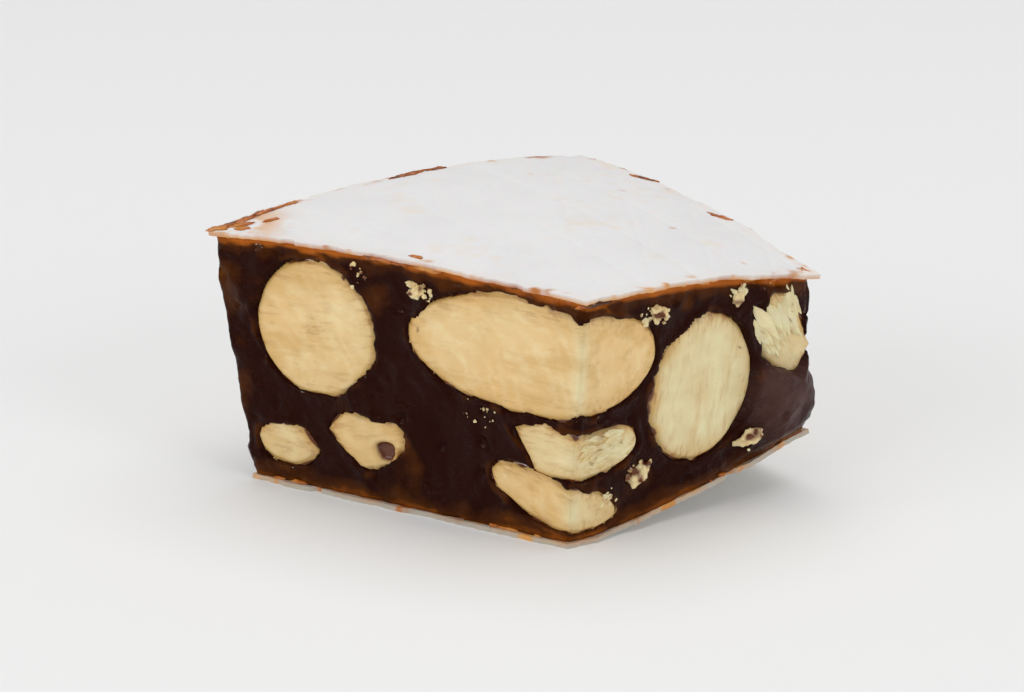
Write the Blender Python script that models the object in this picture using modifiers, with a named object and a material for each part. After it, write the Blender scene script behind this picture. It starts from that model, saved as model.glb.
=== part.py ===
"""A cut block of dark almond nougat between two thin wafers, each piece a closed solid.

Lengths are in metres and +Z is up. The block lies on its lower wafer, at z = 0.
Its plan has four corners: left, near, right and far, anticlockwise from above.
Each cut side is named for the two corners that it joins, and each almond is cut
where the knife passed, flush with the block's sides.
"""

import math
from collections import namedtuple

import bmesh
import bpy
from mathutils import Matrix, Vector, geometry, noise

MM = 0.001

# Plan of the block at its upper edge
LEFT_NEAR_LENGTH = 45.0 * MM
NEAR_RIGHT_LENGTH = 29.0 * MM
FAR_LEFT_LENGTH = 46.0 * MM
LEFT_CORNER_ANGLE = math.radians(68)
NEAR_CORNER_ANGLE = math.radians(109)

# Height of the nougat at each corner and how far its upper face crowns between them
CORNER_HEIGHTS = (25.2 * MM, 25.4 * MM, 22.7 * MM, 25.6 * MM)
CROWN_ALONG_FRONT = 1.0 * MM
CROWN_ALONG_BACK = 1.4 * MM
CROWN_ALONG_LEFT = 1.8 * MM
CROWN_ALONG_RIGHT = 0.9 * MM

# The underside bends up towards the right corner, past the diagonal between near and far
RIGHT_CORNER_LIFT = 5.5 * MM
LIFT_START = 0.08
LIFT_POWER = 1.3

# A side's lean is how far its foot draws in, and the upper edge stays on the plan
SIDE_NAMES = ("left_near", "near_right", "right_far", "far_left")
SIDE_LEANS = tuple(math.radians(lean) for lean in (1.0, 5.0, -3.0, 9.0))
LEAN_HEIGHT = 26.0 * MM

# Wafers
WAFER_THICKNESS = 0.5 * MM
WAFER_OVERHANG = 0.7 * MM
WAFER_RAGGED = 0.45 * MM
WAFER_CELLS = (14, 12)
GAP = 0.3 * MM
POCKET_GAP = 0.32 * MM

# Nougat mesh and the relief of its cut sides
NOUGAT_CELLS = (24, 20, 11)
EDGE_SETBACK = 0.7 * MM
CORNER_SETBACK = 0.35 * MM
BROAD_RELIEF = 0.55 * MM
BROAD_RELIEF_SIZE = 9.0 * MM
FINE_RELIEF = 0.3 * MM
FINE_RELIEF_SIZE = 3.2 * MM

Side = namedtuple("Side", "start along outward length lean")

# A lump is a swelling of the nougat between the almonds, in millimetres
Lump = namedtuple("Lump", "side along up radius height")
LUMPS = (
    Lump("near_right", 26.0, 10.5, 4.5, 1.8),
    Lump("right_far", 2.5, 10.0, 4.5, 1.2),
    Lump("left_near", 29.0, 8.0, 5.0, -0.7),
    Lump("left_near", 4.0, 20.0, 4.0, 0.8),
    Lump("right_far", 21.5, 14.0, 4.0, 1.1),
    Lump("far_left", 30.5, 12.5, 4.5, 1.0),
    Lump("far_left", 14.5, 11.5, 3.5, -0.8),
)

# Loose almond chips that are stuck to the cut sides: place and size in millimetres, turn in degrees
Chip = namedtuple("Chip", "side along up size turn")
CHIPS = (
    Chip("left_near", 25.4, 23.9, 1.6, 30),
    Chip("near_right", 9.4, 23.2, 1.8, -30),
    Chip("near_right", 19.8, 22.9, 1.6, 60),
    Chip("near_right", 8.6, 6.0, 2.2, 50),
    Chip("near_right", 22.0, 7.4, 2.2, 20),
    Chip("right_far", 9.7, 7.6, 2.2, 30),
    Chip("right_far", 6.2, 10.0, 1.7, -50),
    Chip("right_far", 6.6, 20.6, 2.2, 15),
    Chip("right_far", 38.0, 12.8, 1.9, 60),
    Chip("right_far", 21.2, 22.7, 1.5, -20),
    Chip("far_left", 9.0, 5.5, 2.2, 40),
    Chip("far_left", 4.8, 8.2, 1.8, -60),
    Chip("far_left", 41.0, 21.3, 2.7, 10),
    Chip("far_left", 18.0, 22.4, 1.6, 75),
    Chip("far_left", 25.4, 8.6, 1.8, 25),
)
CHIP_SHAPE = Vector((0.62, 0.42, 0.37))

# An almond's centre is measured along its side, up from the table and in from the side.
# Its roll tilts it in the plane of the side and its swing turns it into the block.
Almond = namedtuple("Almond", "name side along up inset length width depth roll swing")
ALMONDS = (
    Almond("almond_round", "left_near", 12.7, 17.7, 0.8, 15.4, 14.6, 15.0, 4, 78),
    Almond("almond_corner", "left_near", 38.4, 19.1, 1.3, 31.0, 12.1, 15.6, -1, 17),
    Almond("almond_flaky", "left_near", 42.8, 9.9, 2.0, 16.4, 5.4, 12.0, 0, 20),
    Almond("almond_crescent", "left_near", 40.4, 4.4, 1.5, 14.6, 4.6, 11.0, -18, 15),
    Almond("almond_tan_chip", "left_near", 19.0, 7.0, 1.5, 11.0, 7.4, 8.0, 14, 10),
    Almond("almond_foot_left", "left_near", 8.7, 4.7, 1.0, 8.0, 5.2, 7.0, -6, 0),
    Almond("almond_oval", "near_right", 15.8, 14.3, 1.2, 16.8, 13.0, 10.0, 84, 0),
    Almond("almond_flakes", "near_right", 26.4, 17.5, 1.0, 12.0, 7.4, 8.0, -52, 0),
    Almond("almond_right_long", "right_far", 13.8, 15.0, 1.4, 14.6, 11.2, 9.0, 12, 0),
    Almond("almond_right_wide", "right_far", 29.4, 18.0, 1.5, 15.6, 12.6, 9.0, -10, 0),
    Almond("almond_right_foot", "right_far", 20.4, 7.6, 1.0, 12.0, 6.2, 9.0, 12, 0),
    Almond("almond_far_foot", "right_far", 33.4, 6.2, 1.0, 11.0, 7.6, 8.0, -18, 0),
    Almond("almond_back_upright", "far_left", 11.0, 16.7, 1.0, 15.4, 12.0, 8.0, 74, 0),
    Almond("almond_back_long", "far_left", 27.0, 18.0, 1.0, 17.0, 12.2, 8.4, 5, 0),
    Almond("almond_back_round", "far_left", 39.2, 12.6, 0.2, 7.4, 7.0, 4.6, -4, 0),
    Almond("almond_back_foot", "far_left", 18.6, 6.2, 1.2, 14.0, 7.6, 9.0, -12, 0),
    Almond("almond_back_chip", "far_left", 32.4, 5.8, 1.0, 9.5, 6.2, 7.0, 24, 0),
)
ALMOND_RINGS = 9
ALMOND_SEGMENTS = 14
ALMOND_POINTING = 0.22
ALMOND_WOBBLE = 0.05

# A break is where it passes, as shares of the half length and half width, and its direction
BREAKS = (
    ((0.78, 0.0), (0.9, 0.1, 0.42)),
    ((-0.72, 0.0), (-0.8, 0.2, -0.5)),
    ((0.0, 0.8), (0.2, -0.25, 0.95)),
)
BROKEN_ALMONDS = ("almond_flaky", "almond_flakes", "almond_tan_chip", "almond_back_chip")

COLLECTION_NAME = "nougat_block"
CUTTER_COLLECTION_NAME = "cutters"


def clear_scene():
    for old in list(bpy.data.objects):
        bpy.data.objects.remove(old, do_unlink=True)


def new_collection(name):
    collection = bpy.data.collections.new(name)
    bpy.context.scene.collection.children.link(collection)
    return collection


def make_material(name, colour, roughness):
    material = bpy.data.materials.new(name)
    material.use_nodes = True
    shader = material.node_tree.nodes["Principled BSDF"]
    shader.inputs["Base Color"].default_value = (*colour, 1.0)
    shader.inputs["Roughness"].default_value = roughness
    shader.inputs["Metallic"].default_value = 0.0
    return material


def make_object(name, bm, collection, material=None):
    mesh = bpy.data.meshes.new(name)
    bm.to_mesh(mesh)
    bm.free()
    made = bpy.data.objects.new(name, mesh)
    if material is not None:
        mesh.materials.append(material)
    collection.objects.link(made)
    return made


def plan_corners():
    """Left, near, right and far corner of the block's upper edge."""
    left = Vector((0.0, 0.0, 0.0))
    near = Vector((LEFT_NEAR_LENGTH, 0.0, 0.0))
    turn = math.pi - NEAR_CORNER_ANGLE
    right = near + NEAR_RIGHT_LENGTH * Vector((math.cos(turn), math.sin(turn), 0.0))
    far = FAR_LEFT_LENGTH * Vector(
        (math.cos(LEFT_CORNER_ANGLE), math.sin(LEFT_CORNER_ANGLE), 0.0)
    )
    return [left, near, right, far]


def make_sides():
    """The four cut sides by name, each with its start, direction and outward direction."""
    corners = plan_corners()
    sides = {}
    for index, name in enumerate(SIDE_NAMES):
        start = corners[index]
        edge = corners[(index + 1) % 4] - start
        along = edge.normalized()
        outward = Vector((along.y, -along.x, 0.0))
        sides[name] = Side(start, along, outward, edge.length, SIDE_LEANS[index])
    return sides


SIDES = make_sides()


def inward_shift(side, height):
    """How far a side has drawn in from the plan at a height."""
    return (LEAN_HEIGHT - height) * math.tan(side.lean)


def side_normal(side):
    return (side.outward * math.cos(side.lean) - Vector((0, 0, math.sin(side.lean)))).normalized()


def side_point(side, along, up, inset=0.0):
    """A point given along a side, up from the table and in from the cut."""
    drawn_in = inward_shift(side, up) + inset
    return side.start + side.along * along - side.outward * drawn_in + Vector((0, 0, up))


def corners_at(height):
    """The four corners of the block where its sides meet at a height."""
    found = []
    for index in range(4):
        before = SIDES[SIDE_NAMES[index - 1]]
        after = SIDES[SIDE_NAMES[index]]
        a = side_point(before, 0.0, height)
        b = side_point(after, 0.0, height)
        crossing = geometry.intersect_line_line(a, a + before.along, b, b + after.along)
        found.append(crossing[0])
    return found


FOOT_CORNERS = corners_at(0.0)
TOP_CORNERS = corners_at(LEAN_HEIGHT)


def blend_corners(values, u, v):
    """Bilinear blend: u runs from left to near, v from the two front corners to the back."""
    left, near, right, far = values
    return (
        left * ((1 - u) * (1 - v))
        + near * (u * (1 - v))
        + right * (u * v)
        + far * ((1 - u) * v)
    )


def plan_at(u, v, height):
    """Place in the plan at a height, with the sides' lean."""
    share = height / LEAN_HEIGHT
    corners = [foot.lerp(top, share) for foot, top in zip(FOOT_CORNERS, TOP_CORNERS)]
    place = blend_corners(corners, u, v)
    return Vector((place.x, place.y, height))


def upper_height(u, v):
    """Height of the nougat's crowned upper face."""
    across = 4 * u * (1 - u)
    deep = 4 * v * (1 - v)
    crown = across * (CROWN_ALONG_FRONT * (1 - v) + CROWN_ALONG_BACK * v)
    crown += deep * (CROWN_ALONG_LEFT * (1 - u) + CROWN_ALONG_RIGHT * u)
    return blend_corners(CORNER_HEIGHTS, u, v) + crown


def lower_lift(u, v):
    """How far the underside has left the table, which is nothing up to the diagonal."""
    past = (u + v - 1.0 - LIFT_START) / (1.0 - LIFT_START)
    return RIGHT_CORNER_LIFT * max(0.0, past) ** LIFT_POWER


def side_relief(name, along, up):
    """How far the nougat stands out of a side's plane, negative where it sinks."""
    index = SIDE_NAMES.index(name)
    broad = noise.noise(Vector((along, up, 0.05 * index)) / BROAD_RELIEF_SIZE)
    fine = noise.noise(Vector((along, up, 0.03 * index + 0.01)) / FINE_RELIEF_SIZE)
    relief = BROAD_RELIEF * broad + FINE_RELIEF * fine
    for lump in LUMPS:
        if lump.side == name:
            distance = math.hypot(along - lump.along * MM, up - lump.up * MM)
            relief += lump.height * MM * math.exp(-((distance / (lump.radius * MM)) ** 2))
    return relief


def cut_edges(bm, direction, cuts):
    """Subdivide every edge of a cube grid that runs along one axis."""
    edges = [
        edge
        for edge in bm.edges
        if abs((edge.verts[1].co - edge.verts[0].co).normalized()[direction]) > 0.9
    ]
    bmesh.ops.subdivide_edges(bm, edges=edges, cuts=cuts - 1, use_grid_fill=True)


def make_nougat(collection, material):
    """The nougat mass: a subdivided cube bent into the block, with relief on its cut sides."""
    bm = bmesh.new()
    bmesh.ops.create_cube(bm, size=1.0)
    for direction, cuts in enumerate(NOUGAT_CELLS):
        cut_edges(bm, direction, cuts)
    for vert in bm.verts:
        u, v, w = (value + 0.5 for value in vert.co)
        low = WAFER_THICKNESS + GAP + lower_lift(u, v)
        high = upper_height(u, v)
        height = low + (high - low) * w
        place = plan_at(u, v, height)
        edge_fade = min(1.0, 8.0 * w, 8.0 * (1.0 - w))
        touched = [
            name
            for name, on_side in zip(SIDE_NAMES, (v < 0.001, u > 0.999, v > 0.999, u < 0.001))
            if on_side
        ]
        push = Vector((0.0, 0.0, 0.0))
        for name in touched:
            side = SIDES[name]
            along = (place - side.start).dot(side.along)
            relief = side_relief(name, along, height) * edge_fade
            relief -= EDGE_SETBACK * (1.0 - edge_fade)
            if len(touched) == 2:
                relief -= CORNER_SETBACK
            push += side.outward * relief
        vert.co = place + push
    return make_object("nougat", bm, collection, material)


def add_modifier_and_apply(made, name, kind, **settings):
    modifier = made.modifiers.new(name, kind)
    for key, value in settings.items():
        setattr(modifier, key, value)
    graph = bpy.context.evaluated_depsgraph_get()
    mesh = bpy.data.meshes.new_from_object(made.evaluated_get(graph))
    made.modifiers.clear()
    old = made.data
    made.data = mesh
    bpy.data.meshes.remove(old)


def almond_frame(almond):
    """Matrix that places an almond whose length is X, depth Y (into the block) and width Z."""
    side = SIDES[almond.side]
    centre = side_point(side, almond.along * MM, almond.up * MM, almond.inset * MM)
    inward = -side.outward
    axes = Matrix((side.along, inward, Vector((0, 0, 1)))).transposed().to_4x4()
    swing = Matrix.Rotation(math.radians(almond.swing), 4, "Z")
    roll = Matrix.Rotation(math.radians(-almond.roll), 4, "Y")
    return Matrix.Translation(centre) @ axes @ swing @ roll


def almond_bmesh(almond, grow):
    """A whole almond, blunt at one end and pointed at the other, grown by a margin."""
    bm = bmesh.new()
    bmesh.ops.create_uvsphere(bm, u_segments=ALMOND_SEGMENTS, v_segments=ALMOND_RINGS, radius=1.0)
    bmesh.ops.rotate(bm, verts=bm.verts, matrix=Matrix.Rotation(math.pi / 2, 3, "Y"))
    half = Vector((almond.length, almond.depth, almond.width)) * (0.5 * MM)
    half += Vector((grow, grow, grow))
    seed = Vector((ALMONDS.index(almond) * 3.7, 0.0, 0.0))
    for vert in bm.verts:
        taper = 1.0 - ALMOND_POINTING * max(0.0, vert.co.x) ** 2
        wobble = 1.0 + ALMOND_WOBBLE * noise.noise(vert.co * 1.3 + seed)
        shaped = Vector((vert.co.x, vert.co.y * taper, vert.co.z * taper)) * wobble
        vert.co = Vector([size * value for size, value in zip(half, shaped)])
    bmesh.ops.transform(bm, matrix=almond_frame(almond), verts=bm.verts)
    return bm


def trim(bm, point, normal):
    """Cut away what lies past a plane and close the cut."""
    geometry_all = bm.verts[:] + bm.edges[:] + bm.faces[:]
    bmesh.ops.bisect_plane(
        bm, geom=geometry_all, dist=1e-7, plane_co=point, plane_no=normal, clear_outer=True
    )
    rim = [edge for edge in bm.edges if edge.is_boundary]
    if rim:
        bmesh.ops.holes_fill(bm, edges=rim, sides=0)


def break_almond(bm, almond, grow):
    """Snap a broken almond at three slanted planes, moved out by a margin for its pocket."""
    frame = almond_frame(almond)
    turn = frame.to_3x3()
    half_length = 0.5 * almond.length * MM
    half_width = 0.5 * almond.width * MM
    for share, normal in BREAKS:
        outward = (turn @ Vector(normal)).normalized()
        point = frame @ Vector((share[0] * half_length, 0.0, share[1] * half_width))
        trim(bm, point + outward * grow, outward)


def make_almond(almond, collection, material):
    bm = almond_bmesh(almond, 0.0)
    if almond.name in BROKEN_ALMONDS:
        break_almond(bm, almond, 0.0)
    for side in SIDES.values():
        trim(bm, side_point(side, 0.0, 0.0), side_normal(side))
    bmesh.ops.recalc_face_normals(bm, faces=bm.faces)
    return make_object(almond.name, bm, collection, material)


def make_pocket_cutters(collection):
    for almond in ALMONDS:
        bm = almond_bmesh(almond, POCKET_GAP)
        if almond.name in BROKEN_ALMONDS:
            break_almond(bm, almond, POCKET_GAP)
            bmesh.ops.recalc_face_normals(bm, faces=bm.faces)
        cutter = make_object("pocket_" + almond.name, bm, collection)
        cutter.hide_render = True
        cutter.display_type = "WIRE"


def keep_largest_part(made):
    """Drop scraps that the cuts have left loose."""
    bm = bmesh.new()
    bm.from_mesh(made.data)
    unseen = set(bm.verts)
    parts = []
    while unseen:
        stack = [unseen.pop()]
        part = set(stack)
        while stack:
            for edge in stack.pop().link_edges:
                for vert in edge.verts:
                    if vert in unseen:
                        unseen.remove(vert)
                        part.add(vert)
                        stack.append(vert)
        parts.append(part)
    keep = max(parts, key=len)
    loose = [vert for vert in bm.verts if vert not in keep]
    bmesh.ops.delete(bm, geom=loose, context="VERTS")
    bm.to_mesh(made.data)
    bm.free()


def make_chips(collection):
    """Small almond slivers, half sunk into the cut sides."""
    for index, chip in enumerate(CHIPS):
        side = SIDES[chip.side]
        bm = bmesh.new()
        bmesh.ops.create_icosphere(bm, subdivisions=1, radius=1.0)
        bmesh.ops.scale(bm, verts=bm.verts, vec=CHIP_SHAPE * chip.size * MM)
        point = side_point(side, chip.along * MM, chip.up * MM)
        raised = side_relief(chip.side, chip.along * MM, chip.up * MM)
        inward = -side.outward
        axes = Matrix((side.along, inward, Vector((0, 0, 1)))).transposed().to_4x4()
        place = Matrix.Translation(point + side.outward * raised) @ axes
        place = place @ Matrix.Rotation(math.radians(-chip.turn), 4, "Y")
        bmesh.ops.transform(bm, matrix=place, verts=bm.verts)
        made = make_object(f"chip_{index}", bm, collection)
        made.hide_render = True
        made.display_type = "WIRE"


def remove_collection(collection):
    for made in list(collection.objects):
        bpy.data.objects.remove(made, do_unlink=True)
    bpy.data.collections.remove(collection)


def cut_and_join_nougat(nougat):
    """Cut the pockets for the almonds, then join the stuck chips to the nougat."""
    pockets = new_collection(CUTTER_COLLECTION_NAME)
    make_pocket_cutters(pockets)
    add_modifier_and_apply(
        nougat,
        "pockets",
        "BOOLEAN",
        operation="DIFFERENCE",
        operand_type="COLLECTION",
        collection=pockets,
        solver="MANIFOLD",
    )
    remove_collection(pockets)
    keep_largest_part(nougat)
    chips = new_collection("chips")
    make_chips(chips)
    add_modifier_and_apply(
        nougat,
        "chips",
        "BOOLEAN",
        operation="UNION",
        operand_type="COLLECTION",
        collection=chips,
        solver="MANIFOLD",
    )
    remove_collection(chips)
    keep_largest_part(nougat)


def wafer_edge_wave(x, y):
    return noise.noise(Vector((x, y, 0.5 * MM)) / (4.0 * MM))


def make_wafer(name, collection, material, upper):
    """A thin sheet that overhangs the nougat with a ragged edge."""
    bm = bmesh.new()
    cells_x, cells_y = WAFER_CELLS
    bmesh.ops.create_grid(bm, x_segments=cells_x, y_segments=cells_y, size=0.5)
    edge_height = LEAN_HEIGHT if upper else 0.0
    for vert in bm.verts:
        u = vert.co.x + 0.5
        v = vert.co.y + 0.5
        outer = vert.is_boundary
        place = plan_at(u, v, edge_height)
        if outer:
            for side, on_side in zip(SIDES.values(), (v < 0.001, u > 0.999, v > 0.999, u < 0.001)):
                if on_side:
                    wave = wafer_edge_wave(place.x, place.y + (0.1 if upper else 0.0))
                    place += side.outward * (WAFER_OVERHANG + WAFER_RAGGED * wave)
        if upper:
            place.z = upper_height(u, v) + GAP
        else:
            place.z = WAFER_THICKNESS + lower_lift(u, v)
        vert.co = place
    wafer = make_object(name, bm, collection, material)
    thicken = wafer.modifiers.new("thickness", "SOLIDIFY")
    thicken.thickness = WAFER_THICKNESS
    thicken.offset = 1.0 if upper else -1.0
    thicken.use_even_offset = True
    return wafer


def centre_on_origin(collection):
    """Move the whole block so that its box is centred over the origin."""
    graph = bpy.context.evaluated_depsgraph_get()
    points = []
    for made in collection.objects:
        evaluated = made.evaluated_get(graph)
        points += [made.matrix_world @ vert.co for vert in evaluated.data.vertices]
    low = [min(point[axis] for point in points) for axis in range(3)]
    high = [max(point[axis] for point in points) for axis in range(3)]
    shift = Vector((-(low[0] + high[0]) / 2, -(low[1] + high[1]) / 2, -low[2]))
    for made in collection.objects:
        made.location += shift
    print("block size in mm", [round(1000 * (b - a), 2) for a, b in zip(low, high)])
    print("shift in mm", [round(1000 * value, 3) for value in shift])


def main():
    clear_scene()
    collection = new_collection(COLLECTION_NAME)
    nougat_material = make_material("nougat", (0.045, 0.014, 0.008), 0.22)
    wafer_material = make_material("wafer", (0.86, 0.85, 0.83), 0.75)
    almond_material = make_material("almond", (0.78, 0.62, 0.38), 0.55)
    nougat = make_nougat(collection, nougat_material)
    cut_and_join_nougat(nougat)
    for almond in ALMONDS:
        make_almond(almond, collection, almond_material)
    make_wafer("wafer_upper", collection, wafer_material, True)
    make_wafer("wafer_lower", collection, wafer_material, False)
    centre_on_origin(collection)


main()
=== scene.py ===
"""Looks of a cut block of dark almond nougat between two thin white wafers.

Lengths are in metres and +Z is up. The plan, the sides, the almonds and the chips repeat the
sizes of the solids, so that each piece lies where its solid lies.
"""

import math
from collections import namedtuple

import bmesh
import bpy
from bpy.props import FloatProperty, FloatVectorProperty, IntProperty, PointerProperty
from mathutils import Matrix, Vector, geometry, noise


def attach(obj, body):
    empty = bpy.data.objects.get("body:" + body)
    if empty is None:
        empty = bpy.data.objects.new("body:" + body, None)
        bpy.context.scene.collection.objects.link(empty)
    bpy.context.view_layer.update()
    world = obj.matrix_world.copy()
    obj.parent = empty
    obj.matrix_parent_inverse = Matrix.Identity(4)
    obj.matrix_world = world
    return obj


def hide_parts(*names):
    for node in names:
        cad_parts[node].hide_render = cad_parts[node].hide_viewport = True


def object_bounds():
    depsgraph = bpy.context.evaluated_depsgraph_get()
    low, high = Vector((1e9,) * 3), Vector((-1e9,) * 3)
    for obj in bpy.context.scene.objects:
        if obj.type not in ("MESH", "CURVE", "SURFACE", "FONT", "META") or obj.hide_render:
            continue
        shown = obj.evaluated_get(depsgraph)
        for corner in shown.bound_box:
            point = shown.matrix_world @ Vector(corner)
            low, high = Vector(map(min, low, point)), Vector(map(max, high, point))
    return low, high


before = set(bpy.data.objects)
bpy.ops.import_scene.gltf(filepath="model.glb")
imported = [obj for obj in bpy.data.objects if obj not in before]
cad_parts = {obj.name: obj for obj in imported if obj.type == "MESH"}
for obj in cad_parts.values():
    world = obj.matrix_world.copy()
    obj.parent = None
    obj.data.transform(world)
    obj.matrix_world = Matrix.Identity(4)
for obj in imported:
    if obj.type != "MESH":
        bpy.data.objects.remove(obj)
SOLID_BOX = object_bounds()

bl_info = {
    "name": "Nougat Block",
    "version": (1, 0, 0),
    "blender": (4, 5, 0),
    "location": "View3D > Sidebar > Nougat Block",
    "description": "Builds a cut block of almond nougat between two wafers",
    "category": "Add Mesh",
}

MM = 0.001

# Plan of the block, from its left corner, and the shift that centres it over the origin
LEFT_NEAR_LENGTH = 45.0 * MM
NEAR_RIGHT_LENGTH = 29.0 * MM
FAR_LEFT_LENGTH = 46.0 * MM
LEFT_CORNER_ANGLE = math.radians(68)
NEAR_CORNER_ANGLE = math.radians(109)
CENTRE_SHIFT = Vector((-27.447, -21.247, 0.0)) * MM

# Heights of the nougat's corners, its crown, and the lift of its right corner
CORNER_HEIGHTS = (25.2 * MM, 25.4 * MM, 22.7 * MM, 25.6 * MM)
CROWN_ALONG_FRONT = 1.0 * MM
CROWN_ALONG_BACK = 1.4 * MM
CROWN_ALONG_LEFT = 1.8 * MM
CROWN_ALONG_RIGHT = 0.9 * MM
RIGHT_CORNER_LIFT = 5.5 * MM
LIFT_START = 0.08
LIFT_POWER = 1.3

SIDE_NAMES = ("left_near", "near_right", "right_far", "far_left")
SIDE_LEANS = tuple(math.radians(lean) for lean in (1.0, 5.0, -3.0, 9.0))
LEAN_HEIGHT = 26.0 * MM

WAFER_THICKNESS = 0.5 * MM
WAFER_OVERHANG = 0.42 * MM
WAFER_RAGGED = 0.4 * MM
WAFER_WAVE = 0.24 * MM
GAP = 0.3 * MM

# Broad relief of the cut sides, as in the solid
BROAD_RELIEF = 0.55 * MM
BROAD_RELIEF_SIZE = 9.0 * MM
FINE_RELIEF = 0.3 * MM
FINE_RELIEF_SIZE = 3.2 * MM
EDGE_SETBACK = 0.12 * MM
CORNER_SETBACK = 0.3 * MM

# Where the caramel meets an almond: how far it passes behind the cut face, and its raised lip
POCKET_DEPTH = 1.4 * MM
LIP_HEIGHT = 0.28 * MM
LIP_WIDTH = 0.4 * MM

# Lines that the wafer iron pressed into the upper wafer
PRESSED_ANGLES = (math.radians(38), math.radians(68))
PRESSED_SPACING = 6.6 * MM
PRESSED_WIDTH = 0.32 * MM
PRESSED_DEPTH = 0.05 * MM

# Seeds of the crumbs and the beads
CRUMB_SEED = 6
BEAD_SEED = 23

# How near to a cut in metres, and to the plan's edge in shares of the plan, counts as on it
ON_PLANE = 1e-5
ON_EDGE = 0.0001

# Chips that the solid carries too: place and size in millimetres, turn in degrees
Chip = namedtuple("Chip", "side along up size turn")
CHIPS = (
    Chip("left_near", 25.4, 23.9, 1.6, 30),
    Chip("near_right", 9.4, 23.2, 1.8, -30),
    Chip("near_right", 19.8, 22.9, 1.6, 60),
    Chip("near_right", 8.6, 6.0, 2.2, 50),
    Chip("near_right", 22.0, 7.4, 2.2, 20),
    Chip("right_far", 9.7, 7.6, 2.2, 30),
    Chip("right_far", 6.2, 10.0, 1.7, -50),
    Chip("right_far", 6.6, 20.6, 2.2, 15),
    Chip("right_far", 38.0, 12.8, 1.9, 60),
    Chip("right_far", 21.2, 22.7, 1.5, -20),
    Chip("far_left", 9.0, 5.5, 2.2, 40),
    Chip("far_left", 4.8, 8.2, 1.8, -60),
    Chip("far_left", 41.0, 21.3, 2.7, 10),
    Chip("far_left", 18.0, 22.4, 1.6, 75),
    Chip("far_left", 25.4, 8.6, 1.8, 25),
)
CHIP_SHAPE = Vector((0.62, 0.42, 0.37))
COATED_CHIP_SIDES = ("right_far", "far_left")

Side = namedtuple("Side", "name start along outward length lean")
Lump = namedtuple("Lump", "side along up radius height")
LUMPS = (
    Lump("near_right", 26.0, 10.5, 4.5, 1.8),
    Lump("right_far", 2.5, 10.0, 4.5, 1.2),
    Lump("left_near", 29.0, 8.0, 5.0, -0.7),
    Lump("left_near", 4.0, 20.0, 4.0, 0.8),
    Lump("right_far", 21.5, 14.0, 4.0, 1.1),
    Lump("far_left", 30.5, 12.5, 4.5, 1.0),
    Lump("far_left", 14.5, 11.5, 3.5, -0.8),
)

# Places, sizes and turns of the almonds, and how tan each is from 0, ivory, to 1
Almond = namedtuple("Almond", "name side along up inset length width depth roll swing tan")
ALMONDS = (
    Almond("almond_round", "left_near", 12.7, 17.7, 0.8, 15.4, 14.6, 15.0, 4, 78, 0.7),
    Almond("almond_corner", "left_near", 38.4, 19.1, 1.3, 31.0, 12.1, 15.6, -1, 17, 0.9),
    Almond("almond_flaky", "left_near", 42.8, 9.9, 2.0, 16.4, 5.4, 12.0, 0, 20, 0.35),
    Almond("almond_crescent", "left_near", 40.4, 4.4, 1.5, 14.6, 4.6, 11.0, -18, 15, 0.8),
    Almond("almond_tan_chip", "left_near", 19.0, 7.0, 1.5, 11.0, 7.4, 8.0, 14, 10, 0.7),
    Almond("almond_foot_left", "left_near", 8.7, 4.7, 1.0, 8.0, 5.2, 7.0, -6, 0, 0.4),
    Almond("almond_oval", "near_right", 15.8, 14.3, 1.2, 16.8, 13.0, 10.0, 84, 0, 0.0),
    Almond("almond_flakes", "near_right", 26.4, 17.5, 1.0, 12.0, 7.4, 8.0, -52, 0, 0.15),
    Almond("almond_right_long", "right_far", 13.8, 15.0, 1.4, 14.6, 11.2, 9.0, 12, 0, 0.5),
    Almond("almond_right_wide", "right_far", 29.4, 18.0, 1.5, 15.6, 12.6, 9.0, -10, 0, 0.1),
    Almond("almond_right_foot", "right_far", 20.4, 7.6, 1.0, 12.0, 6.2, 9.0, 12, 0, 0.3),
    Almond("almond_far_foot", "right_far", 33.4, 6.2, 1.0, 11.0, 7.6, 8.0, -18, 0, 0.7),
    Almond("almond_back_upright", "far_left", 11.0, 16.7, 1.0, 15.4, 12.0, 8.0, 74, 0, 0.2),
    Almond("almond_back_long", "far_left", 27.0, 18.0, 1.0, 17.0, 12.2, 8.4, 5, 0, 0.75),
    Almond("almond_back_round", "far_left", 39.2, 12.6, 0.2, 7.4, 7.0, 4.6, -4, 0, 0.4),
    Almond("almond_back_foot", "far_left", 18.6, 6.2, 1.2, 14.0, 7.6, 9.0, -12, 0, 0.45),
    Almond("almond_back_chip", "far_left", 32.4, 5.8, 1.0, 9.5, 6.2, 7.0, 24, 0, 0.2),
)
ALMOND_POINTING = 0.22
ALMOND_WOBBLE = 0.05
OUTLINE_WOBBLE = 0.022

# Caramel that lies thin and shows red-brown: side, along, up and radius in millimetres
AMBER_PATCHES = (
    ("left_near", 0.5, 20.0, 4.5),
    ("left_near", 1.5, 9.0, 3.5),
    ("left_near", 20.5, 22.6, 2.4),
    ("left_near", 24.0, 5.0, 3.0),
    ("near_right", 8.6, 5.2, 1.8),
    ("near_right", 13.0, 23.6, 1.6),
    ("right_far", 6.0, 21.0, 3.0),
    ("right_far", 38.0, 13.0, 4.0),
    ("far_left", 19.0, 12.0, 3.0),
    ("far_left", 44.0, 18.0, 3.5),
)
DUSTY_PLACE = ("near_right", 26.0, 11.0)
# Middle of a hollow in a kernel's cut face, carved in and painted dark as painted shade
HOLLOW_PLACE = ("left_near", 20.9, 5.9)
HOLLOW_RADIUS = 1.4 * MM

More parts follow.
